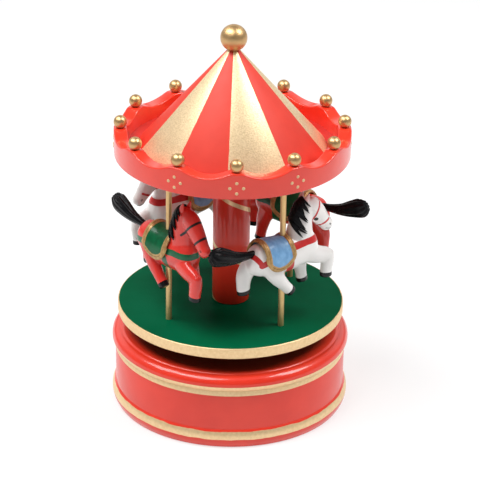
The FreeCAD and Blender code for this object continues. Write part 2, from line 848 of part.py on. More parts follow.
pieces = {
    "base_shell": base_shell(),
    "bottom_board": bottom_board(),
    "bottom_screws": bottom_screws(),
    "bedplate": bedplate(),
    "bedplate_screws": bedplate_screws(),
    "spring_housing": spring_housing(),
    "mainspring": mainspring(),
    "bearing_bush": bearing_bush(),
    "thrust_washer": thrust_washer(),
    "inner_bracket": bracket(inner_bracket_start),
    "outer_bracket": bracket(outer_bracket_start),
    "comb": comb(),
    "comb_screws": comb_screws(),
    "governor_frame": governor_frame(),
    "governor_screws": governor_screws(),
    "spindle": spindle(),
    "drive_wheel": drive_wheel(),
    "platform_hub": platform_hub(),
    "hub_screws": hub_screws(),
    "platform": platform(),
    "column": column(),
    "roof_disc": roof_disc(),
    "crown_ring": crown_ring(),
    "rim_balls": rim_balls(),
    "cone": cone(),
    "finial": finial(),
    "cylinder_shaft": cylinder_shaft(),
    "cylinder_pinion": cylinder_pinion(),
    "cylinder_gear": cylinder_gear(),
    "pin_cylinder": pin_cylinder(),
    "governor_pinion": governor_pinion(),
    "governor_wheel": governor_wheel(),
    "fly_pinion": fly_pinion(),
    "fly": fly(),
}
pieces.update(horses())

os.makedirs("parts", exist_ok=True)
for name, shape in pieces.items():
    shape.exportStep(f"parts/{name}.step")
    print(name, "valid" if shape.isValid() else "NOT VALID", len(shape.Solids), round(shape.Volume, 1))
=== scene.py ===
import bmesh
import bpy
import math
from mathutils import Matrix, Vector


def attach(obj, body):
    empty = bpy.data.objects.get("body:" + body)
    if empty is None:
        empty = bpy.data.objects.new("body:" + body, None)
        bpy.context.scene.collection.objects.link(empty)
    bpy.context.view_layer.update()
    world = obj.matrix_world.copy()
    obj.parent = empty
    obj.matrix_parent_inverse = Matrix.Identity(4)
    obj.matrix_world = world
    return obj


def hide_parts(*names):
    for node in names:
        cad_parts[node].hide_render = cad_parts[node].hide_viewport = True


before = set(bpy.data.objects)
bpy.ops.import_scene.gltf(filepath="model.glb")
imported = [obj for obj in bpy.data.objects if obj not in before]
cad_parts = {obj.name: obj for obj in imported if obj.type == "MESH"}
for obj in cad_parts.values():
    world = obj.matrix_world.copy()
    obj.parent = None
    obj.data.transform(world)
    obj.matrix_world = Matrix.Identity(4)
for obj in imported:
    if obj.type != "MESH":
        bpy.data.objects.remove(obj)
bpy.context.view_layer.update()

# Carousel music box: painted wood, a striped roof, and four carved horses on brass poles.
# Shapes are made in millimetres and scaled to metres when a piece is finished.
MM = 0.001
TURN = 2 * math.pi
COAT_ROUGHNESS = 0.06

# Base
wall_radius = 48.8
foot_radius = 49.2
foot_bead_radius = 50.3
foot_bead_height = 8.1
lip_radius = 50.2
groove_low = 25.7
groove_height = 25.95
groove_depth = 0.1
lip_low = 26.2
lip_top = 32.4
lip_bulge_share = 0.42
base_height = 33.0
top_disc_radius = 46.0
cavity_radius = 38.0
ceiling = 27.5
board_radius = 43.0
board_top = 3.0
bush_radius = 4.5
foot_edge = 0.6
foot_chamfer = 0.15
lip_step = 0.3
top_edge = 0.6
low_gold = (3.9, 7.2)
high_gold = (23.7, 28.4)
gold_blur = 0.12

# Platform and column
platform_low = 40.3
platform_top = 44.9
platform_radius = 47.7
column_radius = 7.8
tenon_radius = 5.0
spiral_pitch = 25.4
spiral_width = 2.0
spiral_start = 0.882
platform_edge_radius = 0.55
gold_edge = 0.45

# Roof
roof_low = 111.7
roof_top = 114.7
ring_radius = 48.8
ring_wall = 5.6
ring_top = 122.7
scallop_depth = 2.5
scallop_seat = 5.6
scallop_rounding = 0.3
scallop_crest = 1.0
ring_edge_radius = 0.7
bead_count = 12
bead_radius = 2.75
bead_sink = 0.35
bead_start = 2.2
cone_radius = 38.9
cone_top_radius = 2.7
cone_top = 156.4
gold_stripes = ((-145.5, -111.0), (-76.5, -38.0), (-2.5, 36.0), (76.5, 111.0), (145.5, 190.0))
stripe_blur = 0.25
finial_radius = 5.5
finial_sink = 0.4
dot_radius = 0.68
dot_reach = 2.7
dot_rise = 2.2
dot_height = 116.6
dot_thickness = 0.28
dot_root = 0.05
dot_sink = 0.02
dot_step = 0.18

# Horses
pole_radius = 1.22
pole_circle = 33.0
pole_low = 40.9
pole_high = 113.7
pole_chamfer = 0.2
horse_floor = 60.0
horse_azimuths = (-50.7, 39.3, 129.3, -140.7)
horse_yaws = (0.0, 0.0, 17.0, 0.0)


# Shader building blocks
def feed(tree, socket, value):
    """Join a socket to another, or set it."""
    if isinstance(value, Socket):
        tree.links.new(value.output, socket)
    else:
        socket.default_value = value


class Socket:
    """A shader output that takes part in ordinary arithmetic."""

    def __init__(self, tree, output):
        self.tree = tree
        self.output = output

    def node(self, kind, inputs, result=0, **settings):
        """Another node in the same tree, with its inputs joined or set."""
        made = self.tree.nodes.new(kind)
        for key, value in settings.items():
            setattr(made, key, value)
        for key, value in inputs.items():
            feed(self.tree, made.inputs[key], value)
        return Socket(self.tree, made.outputs[result])

    def maths(self, operation, *others):
        return self.node("ShaderNodeMath", dict(enumerate((self, *others))), operation=operation)

    def __add__(self, other):
        return self.maths("ADD", other)

    def __sub__(self, other):
        return self.maths("SUBTRACT", other)

    def __rsub__(self, other):
        return self * -1.0 + other

    def __mul__(self, other):
        return self.maths("MULTIPLY", other)

    def __truediv__(self, other):
        return self.maths("DIVIDE", other)

    __radd__ = __add__
    __rmul__ = __mul__

    def above(self, edge, soft):
        """0 below the edge and 1 above it, changing over twice the soft width."""
        bounds = {"Value": self, "From Min": edge - soft, "From Max": edge + soft}
        return self.node("ShaderNodeMapRange", bounds, interpolation_type="SMOOTHSTEP")

    def within(self, low, high, soft):
        return self.above(low, soft) * (1.0 - self.above(high, soft))

    def either(self, *others):
        """1 where any of the masks is 1."""
        result = self
        for other in others:
            result = result.maths("MAXIMUM", other)
        return result


class Paint:
    """A material put together from coats of paint. Places are in millimetres."""

    def __init__(self, name, attribute=None):
        self.material = bpy.data.materials.new(name)
        self.material.use_nodes = True
        self.tree = self.material.node_tree
        self.finish = self.tree.nodes["Principled BSDF"]
        if attribute:
            source = self.tree.nodes.new("ShaderNodeAttribute")
            source.attribute_name = attribute
            self.place = Socket(self.tree, source.outputs["Vector"])
        else:
            source = self.tree.nodes.new("ShaderNodeTexCoord")
            metres = Socket(self.tree, source.outputs["Object"])
            scaling = {0: metres, "Scale": 1 / MM}
            self.place = metres.node("ShaderNodeVectorMath", scaling, operation="SCALE")
        parts = [self.place.node("ShaderNodeSeparateXYZ", {0: self.place}, i) for i in range(3)]
        self.x, self.y, self.z = parts

    def noise(self, size, detail=2.0, stretch=(1.0, 1.0, 1.0)):
        """Noise from 0 to 1 whose features are about that many millimetres across."""
        place = self.place.node("ShaderNodeMapping", {"Vector": self.place, "Scale": stretch})
        inputs = {"Vector": place, "Scale": 1 / size, "Detail": detail}
        return self.place.node("ShaderNodeTexNoise", inputs)

    def mix(self, factor, low, high):
        return self.place.node("ShaderNodeMix", {0: factor, 6: low, 7: high}, 2, data_type="RGBA")

    def blend(self, factor, low, high):
        return self.place.node("ShaderNodeMix", {0: factor, 2: low, 3: high})

    def coat(self, dark, light, patch, roughness, metallic=0.0, gloss=0.0):
        """One coat: a colour that drifts between two tones, and its finish."""
        drift = self.noise(patch, 3.0).above(0.5, 0.3)
        rough = self.noise(patch / 3, 2.0) * 0.12 + (roughness - 0.06)
        return self.mix(drift, (*dark, 1), (*light, 1)), rough, metallic, gloss

    def over(self, below, above, mask):
        """A coat laid over another where the mask is 1."""
        colour = self.mix(mask, below[0], above[0])
        return (colour, *(self.blend(mask, low, high) for low, high in zip(below[1:], above[1:])))

    def done(self, coat, relief, depth, index=1.36):
        """The finished material, with relief in millimetres and a refractive index."""
        for name, value in zip(("Base Color", "Roughness", "Metallic", "Coat Weight"), coat):
            feed(self.tree, self.finish.inputs[name], value)
        self.finish.inputs["Coat Roughness"].default_value = COAT_ROUGHNESS
        self.finish.inputs["IOR"].default_value = index
        inputs = {"Height": relief, "Distance": depth * MM, "Strength": 1.0}
        feed(self.tree, self.finish.inputs["Normal"], self.place.node("ShaderNodeBump", inputs))
        return self.material


# Coats of paint
def red_coat(paint, gloss=0.6):
    return paint.coat((0.74, 0.030, 0.012), (0.82, 0.040, 0.017), 14.0, 0.36, gloss=gloss)


def gold_coat(paint):
    return paint.coat((0.82, 0.58, 0.31), (0.92, 0.68, 0.39), 1.2, 0.38, metallic=0.5)


def green_coat(paint):
    return paint.coat((0.0005, 0.088, 0.034), (0.001, 0.108, 0.045), 18.0, 0.38)


def black_coat(paint):
    return paint.coat((0.003, 0.003, 0.004), (0.008, 0.008, 0.009), 3.0, 0.22)


def brush_relief(paint):
    return paint.noise(0.9, 3.0) + paint.noise(9.0, 1.0) * 1.5


def azimuth_of(paint):
    """Degrees from the front towards +X."""
    return paint.x.maths("ARCTAN2", paint.y * -1.0) * (360 / TURN)


def base_paint():
    """Red enamel with two hand-painted gold bands."""
    paint = Paint("base_paint")
    wobble = (paint.noise(6.0, 2.0) - 0.5) * 0.9
    low_band = (paint.z + wobble).within(*low_gold, gold_blur)
    high_band = (paint.z + wobble * 0.25).within(*high_gold, gold_blur)
    coat = paint.over(red_coat(paint), gold_coat(paint), low_band.either(high_band))
    return paint.done(coat, brush_relief(paint), 0.03)


def platform_paint():
    """Green enamel with a gold edge."""
    paint = Paint("platform_paint")
    reach = paint.x.maths("POWER", 2.0) + paint.y.maths("POWER", 2.0)
    wobble = (paint.noise(5.0, 2.0) - 0.5) * 0.3
    edge = (reach.maths("SQRT") + wobble).above(platform_radius - gold_edge, 0.08)
    coat = paint.over(green_coat(paint), gold_coat(paint), edge)
    return paint.done(coat, brush_relief(paint), 0.02, index=1.06)


def column_paint():
    """Red enamel with one gold stripe wound round it."""
    paint = Paint("column_paint")
    climb = paint.z / spiral_pitch + azimuth_of(paint) / 360.0 + paint.noise(8.0) * 0.02
    phase = (climb + spiral_start).maths("FRACT")
    half_share = spiral_width / spiral_pitch / 2
    stripe = phase.within(0.5 - half_share, 0.5 + half_share, 0.006)
    coat = paint.over(red_coat(paint, 0.35), gold_coat(paint), stripe)
    grain = paint.noise(1.2, 2.0, (1.0, 1.0, 0.05))
    return paint.done(coat, grain, 0.05)


def cone_paint():
    """Ten segments, red and gold in turn, masked by hand."""
    paint = Paint("cone_paint")
    turn = azimuth_of(paint) + (paint.noise(3.0, 2.0) - 0.5) * 0.9
    first, *others = [turn.within(low, high, stripe_blur) for low, high in gold_stripes]
    gold = first.either(*others)
    foil = paint.coat((0.70, 0.52, 0.28), (0.96, 0.77, 0.49), 0.6, 0.42, metallic=0.5)
    red = paint.coat((0.66, 0.032, 0.014), (0.74, 0.043, 0.020), 14.0, 0.54)
    coat = paint.over(red, foil, gold)
    pebble = paint.noise(0.6, 2.0) * gold + paint.noise(0.9, 2.0) * 0.3
    return paint.done(coat, pebble, 0.07, index=1.5)


def ring_paint():
    paint = Paint("ring_paint")
    return paint.done(red_coat(paint, 0.7), brush_relief(paint), 0.03, index=1.4)


def bead_paint():
    paint = Paint("bead_paint")
    coat = paint.coat((0.58, 0.37, 0.17), (0.64, 0.42, 0.20), 4.0, 0.38, metallic=0.85)
    return paint.done(coat, paint.noise(0.5, 3.0), 0.02)


def dot_paint():
    paint = Paint("dot_paint")
    coat = paint.coat((0.70, 0.44, 0.24), (0.80, 0.54, 0.30), 1.0, 0.45, metallic=0.3)
    return paint.done(coat, paint.noise(0.4, 2.0), 0.03)


def pole_paint():
    paint = Paint("pole_paint")
    coat = paint.coat((0.72, 0.48, 0.21), (0.82, 0.56, 0.26), 2.5, 0.40, metallic=0.6)
    return paint.done(coat, paint.noise(0.5, 2.0, (1.0, 1.0, 0.1)), 0.004)


def metal(name, dark, light, roughness):
    paint = Paint(name)
    coat = paint.coat(dark, light, 2.0, roughness, metallic=1.0)
    return paint.done(coat, paint.noise(0.4, 2.0, (1.0, 1.0, 0.15)), 0.01)


def plywood():
    paint = Paint("plywood")
    grain = paint.noise(1.4, 3.0, (1.0, 0.08, 1.0)).above(0.5, 0.25)
    coat = paint.coat((0.40, 0.25, 0.12), (0.58, 0.40, 0.22), 9.0, 0.6)
    dark = paint.coat((0.28, 0.16, 0.07), (0.36, 0.22, 0.10), 9.0, 0.65)
    return paint.done(paint.over(coat, dark, grain * 0.6), grain, 0.04)


def plain_enamel(name, dark, light):
    paint = Paint(name)
    return paint.done(paint.coat(dark, light, 8.0, 0.32, gloss=0.5), brush_relief(paint), 0.03)


# Shape building blocks
def arc(start, through, end, steps=14):
    """Points on the circle through three (radius, height) points, without the first."""
    (ax, ay), (bx, by), (cx, cy) = start, through, end
    scale = 2 * (ax * (by - cy) + bx * (cy - ay) + cx * (ay - by))
    a, b, c = ax * ax + ay * ay, bx * bx + by * by, cx * cx + cy * cy
    ux = (a * (by - cy) + b * (cy - ay) + c * (ay - by)) / scale
    uy = (a * (cx - bx) + b * (ax - cx) + c * (bx - ax)) / scale
    radius = math.hypot(ax - ux, ay - uy)
    first = math.atan2(ay - uy, ax - ux)
    middle = (math.atan2(by - uy, bx - ux) - first) % TURN
    last = (math.atan2(cy - uy, cx - ux) - first) % TURN
    sweep = last if middle <= last else last - TURN
    turns = [first + sweep * i / steps for i in range(1, steps + 1)]
    return [(ux + radius * math.cos(t), uy + radius * math.sin(t)) for t in turns]


def softened(points, radius, steps=5):
    """A closed outline with each corner rounded."""
    result = []
    count = len(points)
    for i, point in enumerate(points):
        here = Vector(point)
        before = (Vector(points[i - 1]) - here).normalized()
        after = (Vector(points[(i + 1) % count]) - here).normalized()
        start, end = here + before * radius, here + after * radius
        for k in range(steps + 1):
            t = k / steps
            result.append(tuple(start * (1 - t) ** 2 + here * 2 * t * (1 - t) + end * t * t))
    return result


def spun(profile, steps=192, closed=True):
    """Spin (radius, height) points about Z."""
    form = bmesh.new()
    verts = [form.verts.new((radius, 0, height)) for radius, height in profile]
    ends = zip(verts, verts[1:] + verts[:1]) if closed else zip(verts, verts[1:])
    edges = [form.edges.new(pair) for pair in ends]
    bmesh.ops.spin(form, geom=verts + edges, axis=(0, 0, 1), cent=(0, 0, 0), angle=TURN, steps=steps,
                   use_merge=True)
    bmesh.ops.remove_doubles(form, verts=form.verts, dist=1e-4)
    return form


def ball_profile(radius, flat, steps=20):
    """A ball standing on a small flat, from the axis round to the axis."""
    low = math.asin(-flat / radius)
    turns = [low + (math.pi / 2 - low) * i / steps for i in range(steps + 1)]
    return [(0.0, -flat)] + [(radius * math.cos(t), radius * math.sin(t)) for t in turns]


def finished(name, form, materials, body, nodes=(), sharp=38.0):
    """One object from a form in millimetres, riding on a body and standing for its CAD nodes."""
    bmesh.ops.recalc_face_normals(form, faces=form.faces)
    bmesh.ops.scale(form, vec=(MM, MM, MM), verts=form.verts)
    mesh = bpy.data.meshes.new(name)
    form.to_mesh(mesh)
    form.free()
    return shown(name, mesh, materials, body, nodes, sharp)


def shown(name, mesh, materials, body, nodes, sharp):
    for material in materials:
        mesh.materials.append(material)
    mesh.polygons.foreach_set("use_smooth", [True] * len(mesh.polygons))
    mesh.set_sharp_from_angle(angle=math.radians(sharp))
    thing = bpy.data.objects.new(name, mesh)
    bpy.context.scene.collection.objects.link(thing)
    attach(thing, body)
    if nodes:
        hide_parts(*nodes)
    return thing


def outward(azimuth, radius, height):
    turn = math.radians(azimuth)
    return Vector((radius * math.sin(turn), -radius * math.cos(turn), height))


# Base, platform, column and cone
foot_start = (foot_radius, foot_edge)
foot_arc = arc(foot_start, (foot_bead_radius, foot_bead_height / 2), (wall_radius, foot_bead_height), 20)
lip_start = (wall_radius + lip_step, lip_low)
lip_bulge = (lip_radius, lip_low + (lip_top - lip_low) * lip_bulge_share)
lip_arc = arc(lip_start, lip_bulge, (top_disc_radius + top_edge, lip_top), 28)
base_profile = [
    (bush_radius, base_height), (bush_radius, ceiling), (cavity_radius, ceiling),
    (cavity_radius, board_top), (board_radius, board_top), (board_radius, 0.0),
    (foot_radius - foot_edge, 0.0), (foot_radius - foot_chamfer, foot_chamfer),
    foot_start, *foot_arc, (wall_radius, groove_low), (wall_radius - groove_depth, groove_height),
    lip_start, *lip_arc,
    (top_disc_radius + 0.2, base_height - 0.35), (top_disc_radius - 0.1, base_height - 0.08),
    (top_disc_radius - top_edge, base_height),
]
finished("painted_base", spun(base_profile, 224), [base_paint()], "base", ["base_shell"])

platform_profile = softened([
    (tenon_radius, platform_low), (platform_radius, platform_low), (platform_radius, platform_top),
    (tenon_radius, platform_top),
], platform_edge_radius)
finished("green_platform", spun(platform_profile, 224), [platform_paint()], "carousel", ["platform"])

column_profile = [
    (0.0, platform_low), (tenon_radius, platform_low), (tenon_radius, platform_top),
    (column_radius - 0.6, platform_top), (column_radius - 0.15, platform_top + 0.2),
    (column_radius, platform_top + 0.7), (column_radius, roof_low),
    (tenon_radius, roof_low), (tenon_radius, roof_top), (0.0, roof_top),
]
finished("striped_column", spun(column_profile, 96, False), [column_paint()], "carousel", ["column"])

cone_profile = [
    (0.0, roof_top), (cone_radius - 0.5, roof_top), (cone_radius - 0.1, roof_top + 0.12),
    (cone_radius - 0.2, roof_top + 0.5), (cone_top_radius, cone_top - 0.2),
    (cone_top_radius - 0.3, cone_top), (0.0, cone_top),
]
finished("striped_cone", spun(cone_profile, 240, False), [cone_paint()], "carousel", ["cone"])


# Crown ring, its beads and painted dots
def scallop_drop(azimuth):
    """How far the ring's top lies under the bead seats, with the peaks rounded over."""
    half_span = math.pi * ring_radius / bead_count - scallop_seat / 2
    radius = (half_span ** 2 + scallop_depth ** 2) / (2 * scallop_depth)
    step = 360.0 / bead_count
    offset = (azimuth - bead_start) % step - step / 2
    reach = math.radians(offset) * ring_radius
    full = scallop_depth - radius + math.sqrt(max(radius ** 2 - reach ** 2, 0.0))
    return 0.5 * (full + math.sqrt(full ** 2 + scallop_rounding ** 2))


def crown_ring():
    inner = ring_radius - ring_wall
    corners = [(inner, roof_low), (ring_radius, roof_low), (ring_radius, ring_top), (inner, ring_top)]
    form = spun(softened(corners, ring_edge_radius), 480)
    for vert in form.verts:
        if vert.co.z > ring_top - scallop_crest:
            azimuth = math.degrees(math.atan2(vert.co.x, -vert.co.y))
            vert.co.z -= scallop_drop(azimuth)
    return form


def copies(form, matrices):
    """The form copied to each place, and its first copy removed."""
    source = form.verts[:] + form.edges[:] + form.faces[:]
    for matrix in matrices:
        made = bmesh.ops.duplicate(form, geom=source)["geom"]
        verts = [item for item in made if isinstance(item, bmesh.types.BMVert)]
        bmesh.ops.transform(form, matrix=matrix, verts=verts)
    bmesh.ops.delete(form, geom=[item for item in source if isinstance(item, bmesh.types.BMVert)])
    return form


def beads():
    flat = bead_radius - bead_sink
    form = spun(ball_profile(bead_radius, flat), 40, False)
    reach = ring_radius - ring_wall / 2
    azimuths = [bead_start + 360.0 * i / bead_count for i in range(bead_count)]
    places = [outward(azimuth, reach, ring_top + flat) for azimuth in azimuths]
    return copies(form, [Matrix.Translation(place) for place in places])


def dots():
    """Low domes of paint in diamonds of four, under three beads out of four."""
    turns = [i * dot_step for i in range(9)]
    dome = [(dot_radius * math.sin(t), dot_thickness * math.cos(t)) for t in turns]
    form = spun(dome + [(dot_radius, -dot_root), (0.0, -dot_root)], 20, False)
    face_out = Matrix.Rotation(math.pi / 2, 4, "X")
    step = 360.0 / bead_count
    spread = math.degrees(dot_reach / ring_radius)
    matrices = []
    for i in range(bead_count):
        if i % 4 != 2:
            for turn, rise in ((0, dot_rise), (0, -dot_rise), (spread, 0), (-spread, 0)):
                azimuth = bead_start + step * i + turn
                place = Matrix.Translation(outward(azimuth, ring_radius - dot_sink, dot_height + rise))
                matrices.append(place @ Matrix.Rotation(math.radians(azimuth), 4, "Z") @ face_out)
    return copies(form, matrices)


finished("scalloped_ring", crown_ring(), [ring_paint()], "carousel", ["crown_ring"],
         sharp=50.0)
finished("gold_beads", beads(), [bead_paint()], "carousel", ["rim_balls"],
         sharp=60.0)
finished("gold_dots", dots(), [dot_paint()], "carousel", (), sharp=60.0)
finial_flat = finial_radius - finial_sink
finial_form = spun(ball_profile(finial_radius, finial_flat, 28), 64, False)
bmesh.ops.translate(finial_form, verts=finial_form.verts, vec=(0, 0, cone_top + finial_flat))
finished("gold_finial", finial_form, [bead_paint()], "carousel", ["finial"],
         sharp=60.0)

# Poles
brass_pole = pole_paint()
pole_profile = [
    (0.0, pole_low), (pole_radius - pole_chamfer, pole_low), (pole_radius, pole_low + pole_chamfer),
    (pole_radius, pole_high - pole_chamfer), (pole_radius - pole_chamfer, pole_high), (0.0, pole_high),
]
for number, azimuth in enumerate(horse_azimuths, 1):
    form = spun(pole_profile, 32, False)
    bmesh.ops.translate(form, verts=form.verts, vec=outward(azimuth, pole_circle, 0))
    finished(f"brass_pole_{number}", form, [brass_pole], "carousel", [f"pole_{number}"])

# Movement and fixings, shown as built
brass = metal("brass", (0.62, 0.42, 0.16), (0.74, 0.54, 0.24), 0.32)
steel = metal("steel", (0.50, 0.50, 0.52), (0.62, 0.62, 0.63), 0.30)
spring = metal("spring", (0.16, 0.19, 0.26), (0.26, 0.29, 0.36), 0.35)
zinc = metal("zinc", (0.42, 0.43, 0.44), (0.54, 0.55, 0.56), 0.45)
wood = plywood()
red = plain_enamel("red_enamel", (0.52, 0.03, 0.024), (0.62, 0.04, 0.03))
black = plain_enamel("black_plastic", (0.012, 0.012, 0.013), (0.03, 0.03, 0.032))
looks = {
    "bottom_board": wood, "roof_disc": red, "thrust_washer": black, "fly": black, "mainspring": spring,
    "bedplate": zinc, "spring_housing": zinc, "inner_bracket": zinc, "outer_bracket": zinc,
    "governor_frame": zinc, "platform_hub": zinc,
    "bottom_screws": steel, "bedplate_screws": steel, "comb": steel, "comb_screws": steel,
    "governor_screws": steel, "spindle": steel, "hub_screws": steel, "cylinder_shaft": steel,
    "fly_pinion": steel,
    "bearing_bush": brass, "drive_wheel": brass, "cylinder_pinion": brass, "cylinder_gear": brass,
    "pin_cylinder": brass, "governor_pinion": brass, "governor_wheel": brass,
}
for node, material in looks.items():
    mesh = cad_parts[node].data
    mesh.materials.clear()
    mesh.materials.append(material)

# Horse stations: forward from the pole, height over the lowest hoof, outward, half depth, half width
body_stations = (
    (-17.4, 19.6, 0.0, 2.6, 2.2), (-15.4, 19.0, 0.0, 6.0, 4.9), (-9.5, 18.2, 0.0, 7.5, 6.2),
    (-2.0, 17.3, 0.0, 7.6, 6.1), (6.0, 17.6, 0.0, 7.6, 6.1), (12.0, 18.6, 0.0, 7.4, 5.6),
    (15.4, 19.2, 0.0, 5.4, 4.2), (17.0, 19.4, 0.0, 2.4, 1.9),
)
neck_stations = (
    (8.6, 19.0, 0.0, 7.8, 5.0), (8.9, 26.0, 0.0, 6.2, 4.2), (9.9, 32.0, 0.0, 5.2, 3.5),
    (11.4, 36.6, 0.0, 4.2, 3.0), (12.4, 39.0, 0.0, 2.0, 1.8),
)
head_stations = (
    (10.6, 37.6, 0.0, 2.4, 2.0), (14.2, 35.0, 0.0, 4.5, 3.2), (18.2, 30.8, 0.0, 4.2, 3.0),
    (22.2, 26.2, 0.0, 3.1, 2.4), (24.1, 24.0, 0.0, 2.9, 2.3), (25.2, 22.8, 0.0, 1.6, 1.4),
)
leg_stations = (
    ((-10.6, 17.5, 3.2, 4.6, 2.6), (-6.0, 10.4, 3.6, 3.5, 2.5), (-1.6, 5.2, 3.6, 2.5, 2.2),
     (2.0, 1.4, 3.6, 2.4, 2.2)),
    ((-12.4, 18.0, -3.0, 4.6, 2.6), (-16.8, 12.6, -3.2, 4.2, 2.5), (-17.8, 7.6, -3.2, 3.2, 2.3),
     (-17.4, 3.4, -3.2, 3.0, 2.2)),
    ((22.0, 13.6, 3.2, 2.6, 2.2), (22.0, 10.0, 3.2, 3.1, 2.3), (21.4, 5.6, 3.2, 2.8, 2.2),
     (21.2, 2.6, 3.2, 2.9, 2.2)),
    ((10.2, 16.0, -2.8, 4.2, 2.6), (12.0, 9.6, -3.2, 3.3, 2.5), (13.0, 4.4, -3.2, 2.5, 2.2),
     (13.8, 0.4, -3.2, 2.6, 2.2)),
)
thigh_stations = (
    (9.4, 16.8, 2.8, 4.4, 2.6), (16.0, 14.0, 3.2, 3.9, 2.5), (21.0, 12.6, 3.2, 3.2, 2.4),
    (24.0, 11.6, 3.2, 2.0, 1.8),
)
ear_stations = ((10.6, 37.4, 1.6, 1.5, 1.1), (11.0, 39.6, 1.8, 1.2, 0.8), (11.8, 41.8, 1.9, 0.4, 0.3))
tail_stations = (
    (-15.4, 22.0, 0.0, 1.5, 1.5), (-19.0, 22.2, 0.0, 1.7, 1.6), (-25.0, 23.0, 0.0, 2.6, 2.2),
    (-30.2, 24.6, 0.0, 3.6, 2.7), (-34.4, 26.2, 0.0, 3.9, 2.6), (-36.8, 27.8, 0.0, 2.3, 1.6),
)
head_along = Vector((0.702, -0.712))
head_deep = Vector((0.712, 0.702))
saddle_length = 14.4
saddle_low = 14.6
saddle_corner = 6.4
saddle_thickness = 0.8
saddle_lift = 0.45
border_edges = (0.1, 1.7)
border_rise = 0.18
groove_edges = (0.9, 1.2)
groove_cut = 0.16
roll_place = 0.88
roll_width = 0.10
roll_rise = 0.5
seat_reach = 0.9
border_paint = 1.75
# Where shade is painted into the saddle border's carved groove, measured in from the edge
groove_shade_band = (0.9, 1.15)
hoof_height = 2.2
hoof_reach = 4.6
hoof_half_width = 3.0
ear_line = 38.8
girth_low = 10.6
bridle_low = 22.8
voxel = 0.34
lock_count = 21
lock_rings = 9
lock_lift = 0.45
lock_size = 0.9
lock_curve = 1.3
lock_drop = 0.22
lock_drop_spread = 0.10
lock_end_angle = 88
lock_end_spread = 26
mane_start = 0.46
mane_span = 0.52
crest_angle = 205
stroke_blur = 0.09


def between(stations, share):
    """A smooth station at a share of the way along the stations."""
    last = len(stations) - 1
    at = min(max(share, 0.0), 1.0) * last
    i = min(int(at), last - 1)
    t = at - i
    a, b, c, d = (stations[min(max(i + k, 0), last)] for k in (-1, 0, 1, 2))
    weights = (-0.5 * t + t * t - 0.5 * t ** 3, 1 - 2.5 * t * t + 1.5 * t ** 3,
               0.5 * t + 2 * t * t - 1.5 * t ** 3, -0.5 * t * t + 0.5 * t ** 3)
    return [sum(w * v for w, v in zip(weights, values)) for values in zip(a, b, c, d)]


def station_frame(stations, share):
    """Centre, the directions along and deep, half depth and half width at a share of the way along."""
    forward, height, out, depth, width = between(stations, share)
    step = 0.02
    ahead, behind = between(stations, share + step), between(stations, share - step)
    along = Vector((ahead[0] - behind[0], 0, ahead[1] - behind[1])).normalized()
    return Vector((forward, -out, height)), along, Vector((0, 1, 0)).cross(along), depth, width


def oval_loop(form, count, place, axes, ripple=0.0, ribs=0):
    """The edges of one oval, set by its place and its three axes."""
    verts = bmesh.ops.create_circle(form, segments=count, radius=1.0)["verts"]
    for vert in verts:
        vert.co *= 1 + ripple * math.cos(ribs * math.atan2(vert.co.y, vert.co.x))
    turn = Matrix(axes).transposed().to_4x4()
    bmesh.ops.transform(form, matrix=Matrix.Translation(place) @ turn, verts=verts)
    return list({edge for vert in verts for edge in vert.link_edges})


def close_over(form, loops):
    """Bridge the loops one after another, and close both ends."""
    for near, far in zip(loops, loops[1:]):
        bmesh.ops.bridge_loops(form, edges=near + far)
    for loop in (loops[0], loops[-1]):
        bmesh.ops.contextual_create(form, geom=loop)


def loft(form, stations, rings=20, count=28, ripple=0.0, ribs=9):
    """Ovals along the stations, bridged and closed. Ripple carves lengthways grooves."""
    loops = []
    for k in range(rings):
        place, along, deep, depth, width = station_frame(stations, k / (rings - 1))
        axes = (deep * depth, Vector((0, width, 0)), along)
        loops.append(oval_loop(form, count, place, axes, ripple * (k / rings), ribs))
    close_over(form, loops)
    return form


def mirrored(stations):
    return [(forward, height, -out, depth, width) for forward, height, out, depth, width in stations]


def carved(form):
    """The lofts of a form melted into one skin, as if carved from one block."""
    bmesh.ops.recalc_face_normals(form, faces=form.faces)
    mesh = bpy.data.meshes.new("rough")
    form.to_mesh(mesh)
    form.free()
    rough = bpy.data.objects.new("rough", mesh)
    bpy.context.scene.collection.objects.link(rough)
    skin = rough.modifiers.new("skin", "REMESH")
    skin.mode = "VOXEL"
    skin.voxel_size = voxel
    soft = rough.modifiers.new("soft", "SMOOTH")
    soft.factor = 0.5
    soft.iterations = 8
    bpy.context.view_layer.update()
    whole = rough.evaluated_get(bpy.context.evaluated_depsgraph_get())
    result = bmesh.new()
    result.from_mesh(whole.to_mesh())
    whole.to_mesh_clear()
    bpy.data.objects.remove(rough)
    bpy.data.meshes.remove(mesh)
    return result


def horse_form():
    form = bmesh.new()
    for stations in (body_stations, neck_stations, head_stations, thigh_stations, *leg_stations):
        loft(form, stations)
    form = carved(form)
    for stations in (ear_stations, mirrored(ear_stations)):
        loft(form, stations, rings=10, count=16)
    return form


def neck_point(share, angle, lift):
    """A place on the neck: 180 degrees is the crest and 90 degrees the outer side."""
    place, _, deep, depth, width = station_frame(neck_stations, share)
    turn = math.radians(angle)
    sideways = Vector((0, (width + lift) * math.sin(turn), 0))
    return place + deep * ((depth + lift) * math.cos(turn)) - sideways


